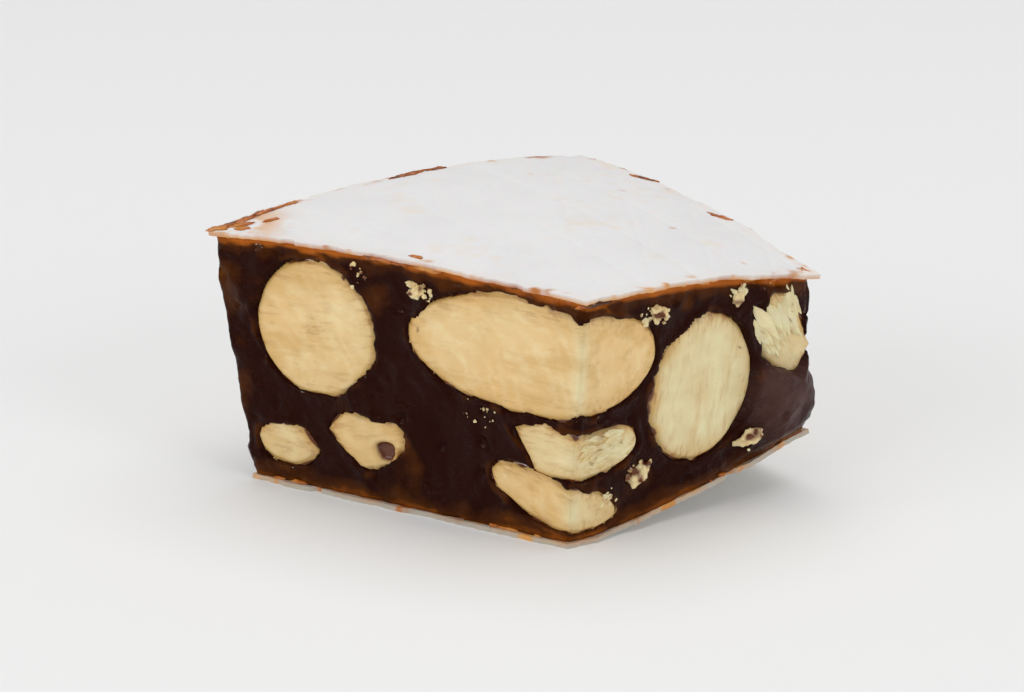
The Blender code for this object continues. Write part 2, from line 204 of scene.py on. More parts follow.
# Crumbs and flakes in millimetres: their middle, spread, grain, number, tan and lie in degrees
Cluster = namedtuple("Cluster", "side along up spread grain count tan lie")
CLUSTERS = (
    Cluster("left_near", 25.6, 23.9, 1.4, 0.5, 30, 0.5, None),
    Cluster("left_near", 33.0, 12.6, 2.4, 0.32, 16, 0.3, None),
    Cluster("left_near", 17.5, 24.4, 1.8, 0.35, 14, 0.9, None),
    Cluster("near_right", 9.0, 23.0, 1.7, 0.5, 34, 0.35, None),
    Cluster("near_right", 4.6, 4.4, 1.2, 0.45, 20, 0.3, None),
    Cluster("near_right", 8.2, 6.4, 1.5, 0.6, 26, 0.9, None),
    Cluster("near_right", 21.5, 6.8, 1.2, 0.8, 9, 0.2, None),
    Cluster("near_right", 3.4, 9.9, 2.2, 2.2, 46, 0.1, 10.0),
    Cluster("near_right", 25.0, 18.2, 2.3, 3.6, 60, 0.05, -62.0),
    Cluster("near_right", 19.6, 23.4, 0.9, 0.7, 12, 0.0, None),
    Cluster("near_right", 26.6, 20.6, 0.9, 3.0, 22, 0.05, -72.0),
    Cluster("right_far", 8.0, 7.0, 2.0, 0.6, 24, 0.5, None),
    Cluster("right_far", 22.0, 20.5, 1.6, 0.5, 20, 0.3, None),
    Cluster("right_far", 37.6, 12.4, 1.8, 0.6, 22, 0.7, None),
    Cluster("right_far", 33.4, 6.2, 1.8, 1.5, 18, 0.5, 20.0),
    Cluster("far_left", 4.0, 8.0, 2.0, 0.6, 22, 0.6, None),
    Cluster("far_left", 19.0, 20.0, 1.6, 0.5, 22, 0.3, None),
    Cluster("far_left", 32.4, 5.8, 1.7, 1.6, 26, 0.1, 24.0),
    Cluster("far_left", 41.5, 20.5, 1.5, 0.5, 18, 0.8, None),
)

# Caramel on the upper wafer: shares of the way to the near and far corners, then length,
# width in millimetres and lie in degrees
Smear = namedtuple("Smear", "u v length width lie")
SMEARS = (
    Smear(0.006, 0.012, 2.6, 1.3, 40.0),
    Smear(0.012, 0.055, 3.6, 1.2, 66.0),
    Smear(0.010, 0.120, 3.4, 1.0, 70.0),
    Smear(0.036, 0.040, 2.4, 0.9, 20.0),
    Smear(0.060, 0.022, 1.8, 0.6, 5.0),
    Smear(0.075, 0.085, 1.5, 0.5, 50.0),
    Smear(0.006, 0.190, 2.6, 0.7, 68.0),
    Smear(0.004, 0.520, 3.8, 0.6, 68.0),
    Smear(0.004, 0.600, 2.2, 0.5, 70.0),
    Smear(0.545, 0.016, 1.7, 0.45, 2.0),
    Smear(0.990, 0.985, 1.4, 1.0, 10.0),
    Smear(0.640, 0.990, 2.4, 0.6, 4.0),
    Smear(0.300, 0.994, 3.0, 0.6, -2.0),
)
SMEAR_THICKNESS = 0.15 * MM

# Kernels whose cut faces are a little wider than their solids', in millimetres
WIDENED = {"almond_corner": 0.5, "almond_flaky": 0.8, "almond_crescent": 0.9, "almond_oval": 0.9}
# Kernels whose cut faces on the near right side are painted paler: painted light on that side
PAINTED_LIGHT_ON_THE_RIGHT = ("almond_flaky", "almond_crescent")

# Breaks of a broken almond: a point in shares of its half length and width, and a direction
BREAKS = (
    ((0.78, 0.0), (0.9, 0.1, 0.42)),
    ((-0.72, 0.0), (-0.8, 0.2, -0.5)),
    ((0.0, 0.8), (0.2, -0.25, 0.95)),
)
BROKEN_ALMONDS = ("almond_flaky", "almond_flakes", "almond_tan_chip", "almond_back_chip")

# Lights: place and size in metres, power in watts; the small ones are for the glints
Light = namedtuple("Light", "name place size power shadow")
LIGHTS = (
    Light("overhead", (-0.05, 0.2, 0.85), (1.0, 0.9), 4.25, True),
    Light("front", (-0.2, -0.72, 0.4), (0.6, 0.3), 1.4, True),
    Light("right", (0.75, -0.2, 0.4), (0.4, 0.3), 0.95, True),
    Light("left_glint", (-0.38, -0.56, 0.26), (0.02, 0.02), 0.8, False),
    Light("right_glint", (0.66, 0.23, 0.27), (0.02, 0.02), 0.8, False),
)
FLOOR_SIZE = 6.0
CLIP_START = 0.01


def plan_corners():
    """Left, near, right and far corner of the block's upper edge."""
    left = CENTRE_SHIFT.copy()
    near = left + Vector((LEFT_NEAR_LENGTH, 0.0, 0.0))
    turn = math.pi - NEAR_CORNER_ANGLE
    right = near + NEAR_RIGHT_LENGTH * Vector((math.cos(turn), math.sin(turn), 0.0))
    slant = Vector((math.cos(LEFT_CORNER_ANGLE), math.sin(LEFT_CORNER_ANGLE), 0.0))
    return [left, near, right, left + FAR_LEFT_LENGTH * slant]


def make_sides():
    """The four cut sides by name, each with its start, direction and outward direction."""
    corners = plan_corners()
    sides = {}
    for index, name in enumerate(SIDE_NAMES):
        start = corners[index]
        edge = corners[(index + 1) % 4] - start
        along = edge.normalized()
        outward = Vector((along.y, -along.x, 0.0))
        sides[name] = Side(name, start, along, outward, edge.length, SIDE_LEANS[index])
    return sides


SIDES = make_sides()


def side_normal(side):
    return (side.outward * math.cos(side.lean) - Vector((0, 0, math.sin(side.lean)))).normalized()


def side_point(side, along, up, inset=0.0):
    """A point given along a side, up from the table and in from the cut."""
    drawn_in = (LEAN_HEIGHT - up) * math.tan(side.lean) + inset
    return side.start + side.along * along - side.outward * drawn_in + Vector((0, 0, up))


def corners_at(height):
    """The four corners of the block where its sides meet at a height."""
    found = []
    for index in range(4):
        before = SIDES[SIDE_NAMES[index - 1]]
        after = SIDES[SIDE_NAMES[index]]
        a = side_point(before, 0.0, height)
        b = side_point(after, 0.0, height)
        crossing = geometry.intersect_line_line(a, a + before.along, b, b + after.along)
        found.append(crossing[0])
    return found


FOOT_CORNERS = corners_at(0.0)
TOP_CORNERS = corners_at(LEAN_HEIGHT)


def blend_corners(values, u, v):
    """Bilinear blend: u runs from left to near, v from the two front corners to the back."""
    left, near, right, far = values
    front = left * ((1 - u) * (1 - v)) + near * (u * (1 - v))
    return front + right * (u * v) + far * ((1 - u) * v)


def plan_at(u, v, height):
    """Place in the plan at a height, with the sides' lean."""
    share = height / LEAN_HEIGHT
    corners = [foot.lerp(top, share) for foot, top in zip(FOOT_CORNERS, TOP_CORNERS)]
    place = blend_corners(corners, u, v)
    return Vector((place.x, place.y, height))


def upper_height(u, v):
    """Height of the nougat's crowned upper face."""
    crown = 4 * u * (1 - u) * (CROWN_ALONG_FRONT * (1 - v) + CROWN_ALONG_BACK * v)
    crown += 4 * v * (1 - v) * (CROWN_ALONG_LEFT * (1 - u) + CROWN_ALONG_RIGHT * u)
    return blend_corners(CORNER_HEIGHTS, u, v) + crown


def lower_lift(u, v):
    """How far the underside has left the table, which is nothing up to the diagonal."""
    past = (u + v - 1.0 - LIFT_START) / (1.0 - LIFT_START)
    return RIGHT_CORNER_LIFT * max(0.0, past) ** LIFT_POWER


def side_relief(name, along, up):
    """How far the nougat stands out of a side's plane, negative where it sinks."""
    index = SIDE_NAMES.index(name)
    broad = noise.noise(Vector((along, up, 0.05 * index)) / BROAD_RELIEF_SIZE)
    fine = noise.noise(Vector((along, up, 0.03 * index + 0.01)) / FINE_RELIEF_SIZE)
    relief = BROAD_RELIEF * broad + FINE_RELIEF * fine
    for lump in LUMPS:
        if lump.side == name:
            distance = math.hypot(along - lump.along * MM, up - lump.up * MM)
            relief += lump.height * MM * math.exp(-((distance / (lump.radius * MM)) ** 2))
    return relief


def wafer_wave(u, v):
    """Gentle waves near the upper wafer's edges, which the caramel follows."""
    inland = smooth_step(0.0, 0.18, min(u, v, 1.0 - u, 1.0 - v))
    return WAFER_WAVE * noise.noise(plan_at(u, v, 0.0) / (5.5 * MM)) * (1.0 - inland)


def smooth_step(low, high, value):
    share = min(1.0, max(0.0, (value - low) / (high - low)))
    return share * share * (3.0 - 2.0 * share)


def almond_frame(almond):
    """Matrix that places an almond whose length is X, depth Y (into the block) and width Z."""
    side = SIDES[almond.side]
    centre = side_point(side, almond.along * MM, almond.up * MM, almond.inset * MM)
    axes = Matrix((side.along, -side.outward, Vector((0, 0, 1)))).transposed().to_4x4()
    swing = Matrix.Rotation(math.radians(almond.swing), 4, "Z")
    roll = Matrix.Rotation(math.radians(-almond.roll), 4, "Y")
    return Matrix.Translation(centre) @ axes @ swing @ roll


def cut_frame(almond):
    """Matrix of the face that a side cuts on an almond: X along it, Y into the block."""
    roll = Matrix.Rotation(math.radians(-almond.roll), 4, "Y")
    axes = side_axes(SIDES[almond.side])
    return Matrix.Translation(almond_frame(almond).translation) @ axes @ roll


def almond_half(almond):
    width = almond.width + WIDENED.get(almond.name, 0.0)
    return Vector((almond.length, almond.depth, width)) * (0.5 * MM)


def break_planes(almond):
    """Point and direction of each break of a broken almond."""
    if almond.name not in BROKEN_ALMONDS:
        return []
    place = almond_frame(almond)
    half = almond_half(almond)
    planes = []
    for share, normal in BREAKS:
        point = place @ Vector((share[0] * half.x, 0.0, share[1] * half.z))
        planes.append((point, (place.to_3x3() @ Vector(normal)).normalized()))
    return planes


class AlmondField:
    """Rough signed distance to an almond's surface, negative inside it."""

    def __init__(self, almond):
        self.inverse = almond_frame(almond).inverted()
        self.half = almond_half(almond)
        self.planes = break_planes(almond)
        self.centre = almond_frame(almond).translation
        self.reach = max(self.half) * 1.2

    def distance(self, point):
        if (point - self.centre).length > self.reach + 2.0 * MM:
            return 2.0 * MM
        local = self.inverse @ point
        x, y, z = (value / size for value, size in zip(local, self.half))
        taper = 1.0 - ALMOND_POINTING * min(1.0, max(0.0, x)) ** 2
        radius = math.sqrt(x * x + (y * y + z * z) / (taper * taper))
        gradient = Vector((x / self.half.x, y / self.half.y, z / self.half.z)).length
        value = (radius - 1.0) * radius / max(gradient, 1.0 / self.reach)
        for place, normal in self.planes:
            value = max(value, (point - place).dot(normal))
        return value


FIELDS = [AlmondField(almond) for almond in ALMONDS]


def nearest_almond(point):
    return min(field.distance(point) for field in FIELDS)


def cut_edges(bm, direction, cuts):
    """Subdivide every edge of a cube grid that runs along one axis."""
    edges = [
        edge
        for edge in bm.edges
        if abs((edge.verts[1].co - edge.verts[0].co).normalized()[direction]) > 0.9
    ]
    bmesh.ops.subdivide_edges(bm, edges=edges, cuts=cuts - 1, use_grid_fill=True)


def shade_smooth(bm):
    for face in bm.faces:
        face.smooth = True


def finish_piece(name, bm, material, slot, *replaced):
    """Turn a bmesh into a named piece that rides on the block and stands for CAD nodes."""
    mesh = bpy.data.meshes.new(name)
    bm.to_mesh(mesh)
    bm.free()
    mesh.materials.append(material)
    piece = bpy.data.objects.new(name, mesh)
    bpy.context.scene.collection.objects.link(piece)
    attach(piece, "root")
    if replaced:
        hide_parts(*replaced)
    return piece


# Shared shader helpers


def node(tree, kind, **inputs):
    made = tree.nodes.new(kind)
    for key, value in inputs.items():
        made.inputs[key.replace("_", " ")].default_value = value
    return made


def ramp(tree, factor, stops):
    """A colour ramp from (position, colour) stops."""
    made = tree.nodes.new("ShaderNodeValToRGB")
    elements = made.color_ramp.elements
    while len(elements) < len(stops):
        elements.new(0.5)
    for element, (position, colour) in zip(elements, stops):
        element.position = position
        element.color = (*colour, 1.0)
    tree.links.new(factor, made.inputs["Fac"])
    return made.outputs["Color"]


def mix_colours(tree, factor, first, second):
    made = tree.nodes.new("ShaderNodeMix")
    made.data_type = "RGBA"
    for index, value in ((0, factor), (6, first), (7, second)):
        socket = made.inputs[index]
        if isinstance(value, bpy.types.NodeSocket):
            tree.links.new(value, socket)
        elif isinstance(value, (int, float)):
            socket.default_value = value
        else:
            socket.default_value = (*value, 1.0)
    return made.outputs[2]


def calculate(tree, operation, first, second):
    made = tree.nodes.new("ShaderNodeMath")
    made.operation = operation
    made.use_clamp = operation == "ADD"
    for socket, value in zip(made.inputs, (first, second)):
        if isinstance(value, bpy.types.NodeSocket):
            tree.links.new(value, socket)
        else:
            socket.default_value = value
    return made.outputs[0]


def add_scaled(tree, total, value, scale):
    """A total, which may be None, plus a scaled value."""
    scaled = calculate(tree, "MULTIPLY", value, scale)
    return scaled if total is None else calculate(tree, "ADD", total, scaled)


def mask(tree, factor, black, white):
    """Black to white between two values of a factor; it falls where white comes first."""
    return ramp(tree, factor, sorted(((black, (0.0, 0.0, 0.0)), (white, (1.0, 1.0, 1.0)))))


def blend_in(tree, colour, shown, strength, other):
    """Mix another colour in where a mask shows, at a share of its strength."""
    return mix_colours(tree, calculate(tree, "MULTIPLY", shown, strength), colour, other)


def attribute(tree, name):
    made = tree.nodes.new("ShaderNodeAttribute")
    made.attribute_name = name
    return made.outputs["Fac"]


def grain_group():
    """Node group: cloudy mask, fine mask and bump height for a vector in metres."""
    name = "food_grain"
    if name in bpy.data.node_groups:
        return bpy.data.node_groups[name]
    group = bpy.data.node_groups.new(name, "ShaderNodeTree")
    face = group.interface
    face.new_socket(name="Vector", in_out="INPUT", socket_type="NodeSocketVector")
    for label, default in (("Cloud Scale", 200.0), ("Fine Scale", 1500.0), ("Stretch", 1.0)):
        socket = face.new_socket(name=label, in_out="INPUT", socket_type="NodeSocketFloat")
        socket.default_value = default
    for label in ("Cloud", "Fine", "Height"):
        face.new_socket(name=label, in_out="OUTPUT", socket_type="NodeSocketFloat")
    start = group.nodes.new("NodeGroupInput")
    end = group.nodes.new("NodeGroupOutput")
    stretch = group.nodes.new("ShaderNodeCombineXYZ")
    stretch.inputs[1].default_value = 1.0
    stretch.inputs[2].default_value = 1.0
    group.links.new(start.outputs["Stretch"], stretch.inputs[0])
    scaled = group.nodes.new("ShaderNodeVectorMath")
    scaled.operation = "MULTIPLY"
    group.links.new(start.outputs["Vector"], scaled.inputs[0])
    group.links.new(stretch.outputs[0], scaled.inputs[1])
    clouds = node(group, "ShaderNodeTexNoise", Detail=4.0, Roughness=0.6)
    fine = node(group, "ShaderNodeTexNoise", Detail=3.0, Roughness=0.65)
    for texture, label in ((clouds, "Cloud Scale"), (fine, "Fine Scale")):
        group.links.new(scaled.outputs[0], texture.inputs["Vector"])
        group.links.new(start.outputs[label], texture.inputs["Scale"])
    height = add_scaled(group, None, clouds.outputs["Fac"], 0.5)
    height = add_scaled(group, height, fine.outputs["Fac"], 0.5)
    group.links.new(clouds.outputs["Fac"], end.inputs["Cloud"])
    group.links.new(fine.outputs["Fac"], end.inputs["Fine"])
    group.links.new(height, end.inputs["Height"])
    return group


def grain(tree, cloud_scale, fine_scale, stretch=1.0, vector=None):
    """The shared grain, on Object coordinates or on a given vector, stretched along its X."""
    made = tree.nodes.new("ShaderNodeGroup")
    made.node_tree = grain_group()
    if vector is None:
        vector = tree.nodes.new("ShaderNodeTexCoord").outputs["Object"]
    tree.links.new(vector, made.inputs["Vector"])
    made.inputs["Cloud Scale"].default_value = cloud_scale
    made.inputs["Fine Scale"].default_value = fine_scale
    made.inputs["Stretch"].default_value = stretch
    return made


def new_material(name):
    material = bpy.data.materials.new(name)
    material.use_nodes = True
    tree = material.node_tree
    return material, tree, tree.nodes["Principled BSDF"]


def add_bump(tree, shader, height, strength, distance):
    bump = node(tree, "ShaderNodeBump", Strength=strength, Distance=distance)
    tree.links.new(height, bump.inputs["Height"])
    tree.links.new(bump.outputs["Normal"], shader.inputs["Normal"])


def nougat_material(settings):
    """Nearly black glossy caramel that turns red-brown and amber where it is thin."""
    material, tree, shader = new_material("dark_caramel_nougat")
    texture = grain(tree, 260.0, 1400.0)
    dark = tuple(settings.nougat_colour)
    amber = tuple(settings.thin_colour)
    red = tuple(0.17 * value for value in amber)
    wander = calculate(tree, "SUBTRACT", texture.outputs["Cloud"], 0.5)
    wander = calculate(tree, "MULTIPLY", wander, 0.8)
    thin = calculate(tree, "ADD", attribute(tree, "thin"), wander)
    colour = ramp(tree, thin, ((0.14, dark), (0.46, red), (0.95, amber)))
    dust = calculate(tree, "MULTIPLY", attribute(tree, "dusty"), texture.outputs["Cloud"])
    colour = mix_colours(tree, dust, colour, tuple(settings.dusty_colour))
    tree.links.new(colour, shader.inputs["Base Color"])
    rough = ramp(tree, texture.outputs["Cloud"], ((0.3, (0.1,) * 3), (0.7, (0.28,) * 3)))
    rough = mix_colours(tree, dust, rough, (0.6, 0.6, 0.6))
    tree.links.new(rough, shader.inputs["Roughness"])
    shader.inputs["IOR"].default_value = 1.45
    shader.inputs["Specular IOR Level"].default_value = 0.05
    shader.inputs["Specular Tint"].default_value = (1.0, 0.56, 0.42, 1.0)
    shader.inputs["Coat Weight"].default_value = 0.2
    shader.inputs["Coat Roughness"].default_value = 0.05
    shader.inputs["Coat IOR"].default_value = 1.27
    add_bump(tree, shader, texture.outputs["Height"], 0.8, 0.6 * MM)
    return material


def almond_material(settings):
    """Cut almond: ivory to tan, streaked along its length, with a golden rim and smears."""
    material, tree, shader = new_material("cut_almond")
    kernel = tree.nodes.new("ShaderNodeAttribute")
    kernel.attribute_name = "kernel"
    vector = kernel.outputs["Vector"]
    broad = grain(tree, 190.0, 620.0, 0.8, vector)
    streaks = grain(tree, 420.0, 1900.0, 0.22, vector)
    rings = node(tree, "ShaderNodeTexWave", Scale=150.0, Distortion=14.0, Detail=5.0)
    rings.wave_type = "RINGS"
    rings.rings_direction = "Y"
    rings.inputs["Detail Scale"].default_value = 1.1
    tree.links.new(vector, rings.inputs["Vector"])
    ivory = tuple(settings.almond_colour)
    tan = tuple(settings.almond_tan_colour)
    golden = tuple(settings.almond_rim_colour)
    pale = tuple(min(1.0, 1.08 * a + 0.05) for a in ivory)
    brown = (0.44, 0.19, 0.05)
    base = mix_colours(tree, attribute(tree, "tan"), ivory, tan)
    clear = mask(tree, broad.outputs["Cloud"], 0.56, 0.36)
    colour = blend_in(tree, base, clear, 0.4, mix_colours(tree, 0.5, base, golden))
    milky = mask(tree, broad.outputs["Fine"], 0.5, 0.66)
    colour = blend_in(tree, colour, milky, 0.28, pale)
    lines = mask(tree, streaks.outputs["Cloud"], 0.5, 0.36)
    colour = blend_in(tree, colour, lines, 0.42, golden)
    marks = mask(tree, rings.outputs["Fac"], 0.35, 1.0)
    marks = calculate(tree, "MULTIPLY", marks, broad.outputs["Cloud"])
    colour = blend_in(tree, colour, marks, 0.22, pale)
    rim = attribute(tree, "rim")
    colour = blend_in(tree, colour, rim, 0.85, golden)
    specks = calculate(tree, "MULTIPLY", mask(tree, streaks.outputs["Fine"], 0.53, 0.62), rim)
    colour = blend_in(tree, colour, specks, 0.75, brown)
    stain = mask(tree, attribute(tree, "stain"), 0.25, 0.62)
    colour = mix_colours(tree, stain, colour, tuple(settings.stain_colour))
    tree.links.new(colour, shader.inputs["Base Color"])
    rough = mix_colours(tree, stain, (0.46, 0.46, 0.46), (0.16, 0.16, 0.16))
    tree.links.new(rough, shader.inputs["Roughness"])
    shader.inputs["Subsurface Weight"].default_value = 0.2
    shader.inputs["Subsurface Radius"].default_value = (1.0, 0.6, 0.3)
    shader.inputs["Subsurface Scale"].default_value = 0.9 * MM
    height = add_scaled(tree, None, streaks.outputs["Height"], 0.45)
    height = add_scaled(tree, height, rings.outputs["Fac"], 0.12)
    height = add_scaled(tree, height, broad.outputs["Height"], 0.35)
    add_bump(tree, shader, height, 0.32, 0.45 * MM)
    return material


def wafer_material(name, settings, sheet_colour, gloss):
    """Thin wafer with pores and caramel stains along its edges."""
    material, tree, shader = new_material(name)
    texture = grain(tree, 120.0, 2200.0)
    grey = tuple(0.955 * value for value in sheet_colour)
    cloudy = ramp(tree, texture.outputs["Cloud"], ((0.3, grey), (0.6, sheet_colour)))
    pores = mask(tree, texture.outputs["Fine"], 0.37, 0.28)
    pored = tuple(0.72 * value for value in sheet_colour)
    cream = (0.78, 0.60, 0.40)
    colour = blend_in(tree, cloudy, pores, 0.3, pored)
    warm = mix_colours(tree, 0.5, sheet_colour, cream)
    colour = mix_colours(tree, attribute(tree, "warmth"), colour, warm)
    stain = attribute(tree, "stain")
    amber = tuple(settings.thin_colour)
    golden = (0.74, 0.36, 0.09)
    stained = ramp(tree, texture.outputs["Cloud"], ((0.38, amber), (0.6, golden)))
    colour = mix_colours(tree, stain, colour, stained)
    tree.links.new(colour, shader.inputs["Base Color"])
    rough = mix_colours(tree, stain, (gloss,) * 3, (0.18,) * 3)
    tree.links.new(rough, shader.inputs["Roughness"])
    shader.inputs["Subsurface Weight"].default_value = 0.15
    shader.inputs["Subsurface Scale"].default_value = 0.5 * MM
    add_bump(tree, shader, texture.outputs["Height"], 0.25, 0.12 * MM)
    return material


def syrup_material(settings):
    """Glossy amber caramel of the smears and beads."""
    material, tree, shader = new_material("amber_caramel")
    texture = grain(tree, 300.0, 1300.0)
    amber = tuple(settings.thin_colour)
    deep = tuple(0.16 * value for value in amber)
    bright = (0.62, 0.26, 0.05)
    colour = ramp(tree, texture.outputs["Cloud"], ((0.34, deep), (0.5, amber), (0.66, bright)))
    tree.links.new(colour, shader.inputs["Base Color"])
    shader.inputs["Roughness"].default_value = 0.07
    shader.inputs["Subsurface Weight"].default_value = 0.15
    shader.inputs["Subsurface Radius"].default_value = (1.0, 0.35, 0.1)
    shader.inputs["Subsurface Scale"].default_value = 0.6 * MM
    add_bump(tree, shader, texture.outputs["Height"], 0.12, 0.2 * MM)
    return material


def floor_material(settings):
    material, tree, shader = new_material("studio_floor")
    texture = grain(tree, 3.0, 40.0)
    pale = tuple(settings.floor_colour)
    darker = tuple(0.99 * value for value in pale)
    colour = ramp(tree, texture.outputs["Cloud"], ((0.3, darker), (0.7, pale)))
    tree.links.new(colour, shader.inputs["Base Color"])
    shader.inputs["Roughness"].default_value = 1.0
    shader.inputs["Specular IOR Level"].default_value = 0.0
    return material


# Pieces


def sticky_detail(point):
    """Small ridges, folds and burst bubbles of a torn, sticky surface."""
    ridges = 1.0 - 2.0 * abs(noise.noise(point / (2.4 * MM)))
    folds = noise.noise(Vector((point.x, point.y, point.z * 1.8)) / (1.1 * MM))
    bubbles = smooth_step(0.42, 0.62, noise.noise(point / (1.7 * MM) + Vector((11.0, 5.0, 2.0))))
    return (0.16 * ridges + 0.1 * folds - 0.35 * bubbles) * MM


def amber_patch(name, along, up):
    """How much the thin patches of a side show at a place."""
    shown = 0.0
    for side, patch_along, patch_up, radius in AMBER_PATCHES:
        if side == name:
            distance = math.hypot(along - patch_along * MM, up - patch_up * MM)
            shown += math.exp(-((distance / (radius * MM)) ** 2))
    return min(1.0, shown)


def make_nougat(settings):
    """The nougat mass, drawn back behind each almond and raised into a lip round it."""
    cells = settings.nougat_cells
    bm = bmesh.new()
    bmesh.ops.create_cube(bm, size=1.0)
    for direction, share in enumerate((1.0, 0.85, 0.62)):
        cut_edges(bm, direction, int(cells * share))
    thin_layer = bm.verts.layers.float.new("thin")
    dusty_layer = bm.verts.layers.float.new("dusty")
    contact = GAP + 0.02 * MM
    dusty_name, dusty_along, dusty_up = DUSTY_PLACE
    dusty_point = side_point(SIDES[dusty_name], dusty_along * MM, dusty_up * MM)
    for vert in bm.verts:
        u, v, w = (value + 0.5 for value in vert.co)
        low = WAFER_THICKNESS + GAP + lower_lift(u, v) - contact
        high = upper_height(u, v) + wafer_wave(u, v) + contact
        height = low + (high - low) * w
        place = plan_at(u, v, height)
        on_sides = (v < ON_EDGE, u > 1.0 - ON_EDGE, v > 1.0 - ON_EDGE, u < ON_EDGE)
        touched = [SIDES[name] for name, on_side in zip(SIDE_NAMES, on_sides) if on_side]
        if not touched:
            vert.co = place
            continue
        near_wafer = min(height - low, high - height)
        edge = 1.0 - smooth_step(0.0, 1.6 * MM, near_wafer)
        gap = nearest_almond(place)
        ragged = 0.26 * MM * noise.noise(place / (1.3 * MM))
        ragged += 0.14 * MM * noise.noise(place / (0.5 * MM))
        ragged += 0.5 * MM * smooth_step(0.0, 0.5, noise.noise(place / (2.9 * MM)))
        inside = 1.0 - smooth_step(-0.4 * MM, 0.0, gap + ragged)
        lip = math.exp(-(((gap + ragged - GAP) / LIP_WIDTH) ** 2))
        push = Vector((0.0, 0.0, 0.0))
        patch = 0.0
        for side in touched:
            along = (place - side.start).dot(side.along)
            relief = side_relief(side.name, along, height) * (1.0 - edge)
            relief += sticky_detail(place) - EDGE_SETBACK * edge
            relief += LIP_HEIGHT * lip * (0.6 + noise.noise(place / (3.0 * MM)))
            relief -= POCKET_DEPTH * inside
            if len(touched) == 2:
                relief -= CORNER_SETBACK
            push += side.outward * relief
            patch = max(patch, amber_patch(side.name, along, height))
        vert.co = place + push
        cloudy = noise.noise(place / (2.2 * MM))
        under_wafer = 1.0 - smooth_step(0.35 * MM, 1.1 * MM, near_wafer + 0.5 * MM * cloudy)
        below_that = 1.0 - smooth_step(0.6 * MM, 2.8 * MM, near_wafer + MM * cloudy)
        edge_glow = 0.95 if w > 0.5 else 0.55
        thin = max(edge_glow * under_wafer, 0.36 * below_that, 0.42 * patch * (0.8 + 0.8 * cloudy))
        vert[thin_layer] = min(1.0, thin + 0.3 * lip * smooth_step(-0.2, 0.4, cloudy))
        vert[dusty_layer] = 1.0 - smooth_step(2.5 * MM, 6.0 * MM, (place - dusty_point).length)
    shade_smooth(bm)
    return finish_piece("caramel_mass", bm, nougat_material(settings), "nougat", "nougat")


def flatten_past(bm, point, normal):
    """Cut a mesh along a plane and press what lies past it flat onto the plane."""
    if all((vert.co - point).dot(normal) <= 0.0 for vert in bm.verts):
        return
    everything = bm.verts[:] + bm.edges[:] + bm.faces[:]
    bmesh.ops.bisect_plane(bm, geom=everything, dist=1e-6, plane_co=point, plane_no=normal)
    for vert in bm.verts:
        past = (vert.co - point).dot(normal)
        if past > 0.0:
            vert.co -= normal * past


def make_almond(almond, material, segments):
    """One almond, whole behind and cut flat by the block's sides in front."""
    bm = bmesh.new()
    bmesh.ops.create_uvsphere(bm, u_segments=segments, v_segments=int(segments * 0.7), radius=1.0)
    bmesh.ops.rotate(bm, verts=bm.verts, matrix=Matrix.Rotation(math.pi / 2, 3, "Y"))
    half = almond_half(almond)
    index = ALMONDS.index(almond)
    seed = Vector((index * 3.7, 0.0, 0.0))
    for vert in bm.verts:
        taper = 1.0 - ALMOND_POINTING * max(0.0, vert.co.x) ** 2
        wobble = 1.0 + ALMOND_WOBBLE * noise.noise(vert.co * 1.3 + seed)
        fine_wobble = noise.noise(vert.co * 4.5) + 0.5 * noise.noise(vert.co * 11.0)
        wobble += OUTLINE_WOBBLE * fine_wobble
        shaped = Vector((vert.co.x, vert.co.y * taper, vert.co.z * taper)) * wobble
        vert.co = Vector([size * value for size, value in zip(half, shaped)])
    bmesh.ops.transform(bm, matrix=almond_frame(almond), verts=bm.verts)
    broken = almond.name in BROKEN_ALMONDS
    for point, normal in break_planes(almond):
        flatten_past(bm, point, normal)
    for side in SIDES.values():
        flatten_past(bm, side_point(side, 0.0, 0.0), side_normal(side))
    field = AlmondField(almond)
    tan_layer = bm.verts.layers.float.new("tan")
    rim_layer = bm.verts.layers.float.new("rim")
    stain_layer = bm.verts.layers.float.new("stain")
    kernel_layer = bm.verts.layers.float_vector.new("kernel")
    grain_origin = Vector((13.0 + index % 3, 3.7 * index, 12.0 - 2.0 * (index % 4))) * MM
    own_place = cut_frame(almond).inverted()
    offsets = []
    for vert in bm.verts:
        place = vert.co.copy()
        vert[kernel_layer] = own_place @ place + grain_origin
        gap = field.distance(place)
        ragged = 0.3 * MM * noise.noise(place / (1.6 * MM) + seed)
        rim = 0.5 * smooth_step(-3.0 * MM, -0.3 * MM, gap + 4.0 * ragged)
        rim += 0.5 * smooth_step(-0.9 * MM, -0.1 * MM, gap + 1.5 * ragged)
        stain = smooth_step(-0.5 * MM, 0.05 * MM, gap + 2.0 * ragged - 0.15 * MM)
        smear = noise.noise(place / (2.6 * MM) + seed * 2.0)
        smear += 0.4 * noise.noise(place / (0.8 * MM))
        # The hollow takes the stain's dark colour here: painted shade in the hollow
        stain = max(stain, 0.6 * smooth_step(0.66, 0.85, smear), hollow_depth(place))
        vert[rim_layer] = rim
        vert[stain_layer] = 0.9 * stain
        tan = almond.tan + 0.3 * noise.noise(place / (6.0 * MM))
        # Painted light: on the near right side these kernels are painted paler, as if lit more
        # there
        if almond.name in PAINTED_LIGHT_ON_THE_RIGHT and on_side(place, "near_right"):
            tan -= 0.45
        near_edge = FOOT_CORNERS[1].lerp(TOP_CORNERS[1], place.z / LEAN_HEIGHT)
        tan -= 0.6 * math.exp(-(((place - near_edge).length / (0.8 * MM)) ** 2))
        vert[tan_layer] = min(1.0, max(0.0, tan))
        offsets.append(cut_face_offset(almond, place, gap, seed, broken))
    for vert, offset in zip(bm.verts, offsets):
        vert.co += offset
    shade_smooth(bm)
    return finish_piece(almond.name + "_kernel", bm, material, "almond", almond.name)


